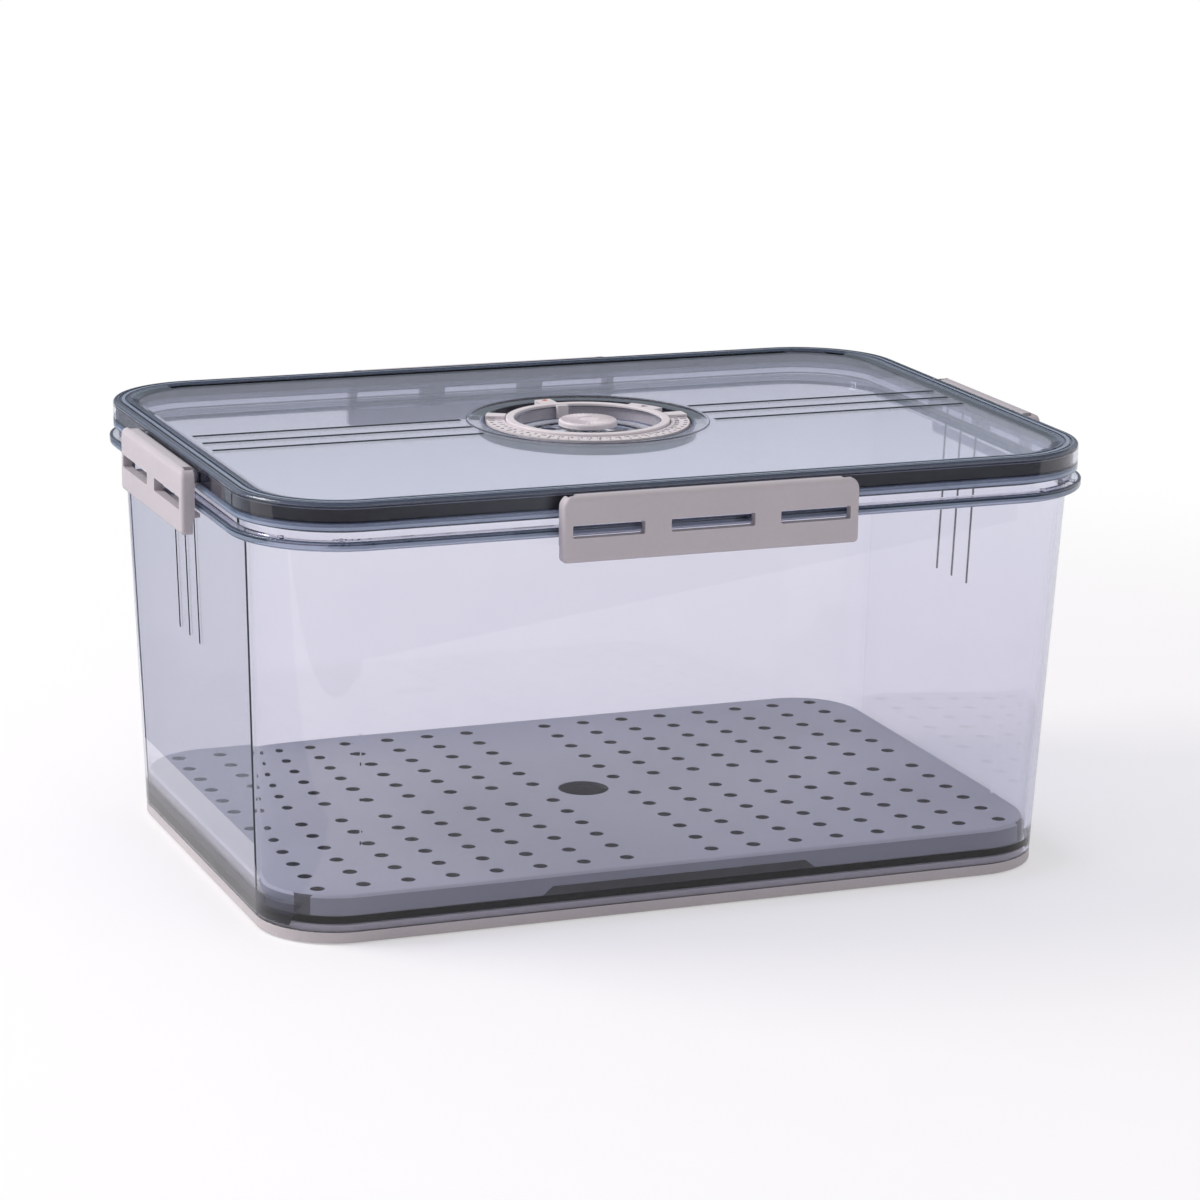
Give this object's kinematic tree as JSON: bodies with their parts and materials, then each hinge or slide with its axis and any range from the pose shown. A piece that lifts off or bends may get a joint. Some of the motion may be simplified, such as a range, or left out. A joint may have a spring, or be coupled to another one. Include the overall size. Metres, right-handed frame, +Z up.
{
  "type": "bread keeper",
  "caption": "Clear lidded food keeper with a perforated drain tray, latched lid, date rings and a press vent.",
  "frame": {"origin": "centre of the underside, on the surface the keeper stands on", "axes": "+Z up, X along the long side, the front with the long latch faces -Y"},
  "size_m": [0.3564, 0.2584, 0.1706],
  "materials": {
    "clear_tub": "smooth smoky clear plastic",
    "clear_lid": "smooth smoky clear plastic",
    "clear_cup": "smooth clear plastic",
    "taupe_trim": "satin moulded plastic",
    "taupe_latch": "satin moulded plastic",
    "taupe_dial": "satin moulded plastic",
    "grey_tray": "fine matte moulded plastic",
    "dark_gasket": "matte silicone",
    "vent_silicone": "matte silicone",
    "red_dot": "printed dot",
    "pin_steel": "plain steel",
    "spring_steel": "plain steel",
    "pad_rubber": "matte rubber"
  },
  "bodies": {
    "tub": {"container_tub": "clear_tub", "base_trim": "taupe_trim", "pad_front_left": "pad_rubber", "pad_front_right": "pad_rubber", "pad_back_left": "pad_rubber", "pad_back_right": "pad_rubber"},
    "tray": {"drain_tray": "grey_tray"},
    "lid": {"lid_panel": "clear_lid", "lid_gasket": "dark_gasket", "vent_cup": "clear_cup", "vent_spring": "spring_steel", "pin_front": "pin_steel", "pin_back": "pin_steel", "pin_left": "pin_steel", "pin_right": "pin_steel"},
    "latch_front": {"latch_front": "taupe_latch"},
    "latch_back": {"latch_back": "taupe_latch"},
    "latch_left": {"latch_left": "taupe_latch"},
    "latch_right": {"latch_right": "taupe_latch"},
    "date_dial": {"date_ring": "taupe_dial", "index_dot": "red_dot"},
    "month_dial": {"month_ring": "taupe_dial"},
    "valve": {"vent_button": "taupe_dial", "vent_stem": "clear_cup", "vent_seal": "vent_silicone"}
  },
  "joints": [
    {"name": "lid_lift", "type": "slide", "parent": "tub", "child": "lid", "axis": [0, 0, 1], "range_m": [0, 0.0314]},
    {"name": "latch_front_swing", "type": "hinge", "parent": "lid", "child": "latch_front", "pos_m": [0, -0.1249, 0.1658], "axis": [-1, 0, 0], "range_deg": [0, 90]},
    {"name": "latch_back_swing", "type": "hinge", "parent": "lid", "child": "latch_back", "pos_m": [0, 0.1249, 0.1658], "axis": [1, 0, 0], "range_deg": [0, 90]},
    {"name": "latch_left_swing", "type": "hinge", "parent": "lid", "child": "latch_left", "pos_m": [-0.1739, 0, 0.1658], "axis": [0, 1, 0], "range_deg": [0, 90]},
    {"name": "latch_right_swing", "type": "hinge", "parent": "lid", "child": "latch_right", "pos_m": [0.1739, 0, 0.1658], "axis": [0, -1, 0], "range_deg": [0, 90]},
    {"name": "date_turn", "type": "hinge", "parent": "lid", "child": "date_dial", "pos_m": [0, 0, 0.168], "axis": [0, 0, 1], "continuous": true},
    {"name": "month_turn", "type": "hinge", "parent": "lid", "child": "month_dial", "pos_m": [0, 0, 0.168], "axis": [0, 0, 1], "continuous": true},
    {"name": "vent_press", "type": "slide", "parent": "lid", "child": "valve", "axis": [0, 0, -1], "range_m": [0, 0.002], "stiffness_N_per_m": 600, "springref_m": -0.003, "deforming": ["vent_spring"]},
    {"name": "tray_lift", "type": "slide", "parent": "tub", "child": "tray", "axis": [0, 0, 1], "range_m": [0, 0.1]}
  ],
  "couplings": [
    {"joint": "latch_front_swing", "follows": "lid_lift", "rad_per_m": 50},
    {"joint": "latch_back_swing", "follows": "lid_lift", "rad_per_m": 50},
    {"joint": "latch_left_swing", "follows": "lid_lift", "rad_per_m": 50},
    {"joint": "latch_right_swing", "follows": "lid_lift", "rad_per_m": 50}
  ]
}
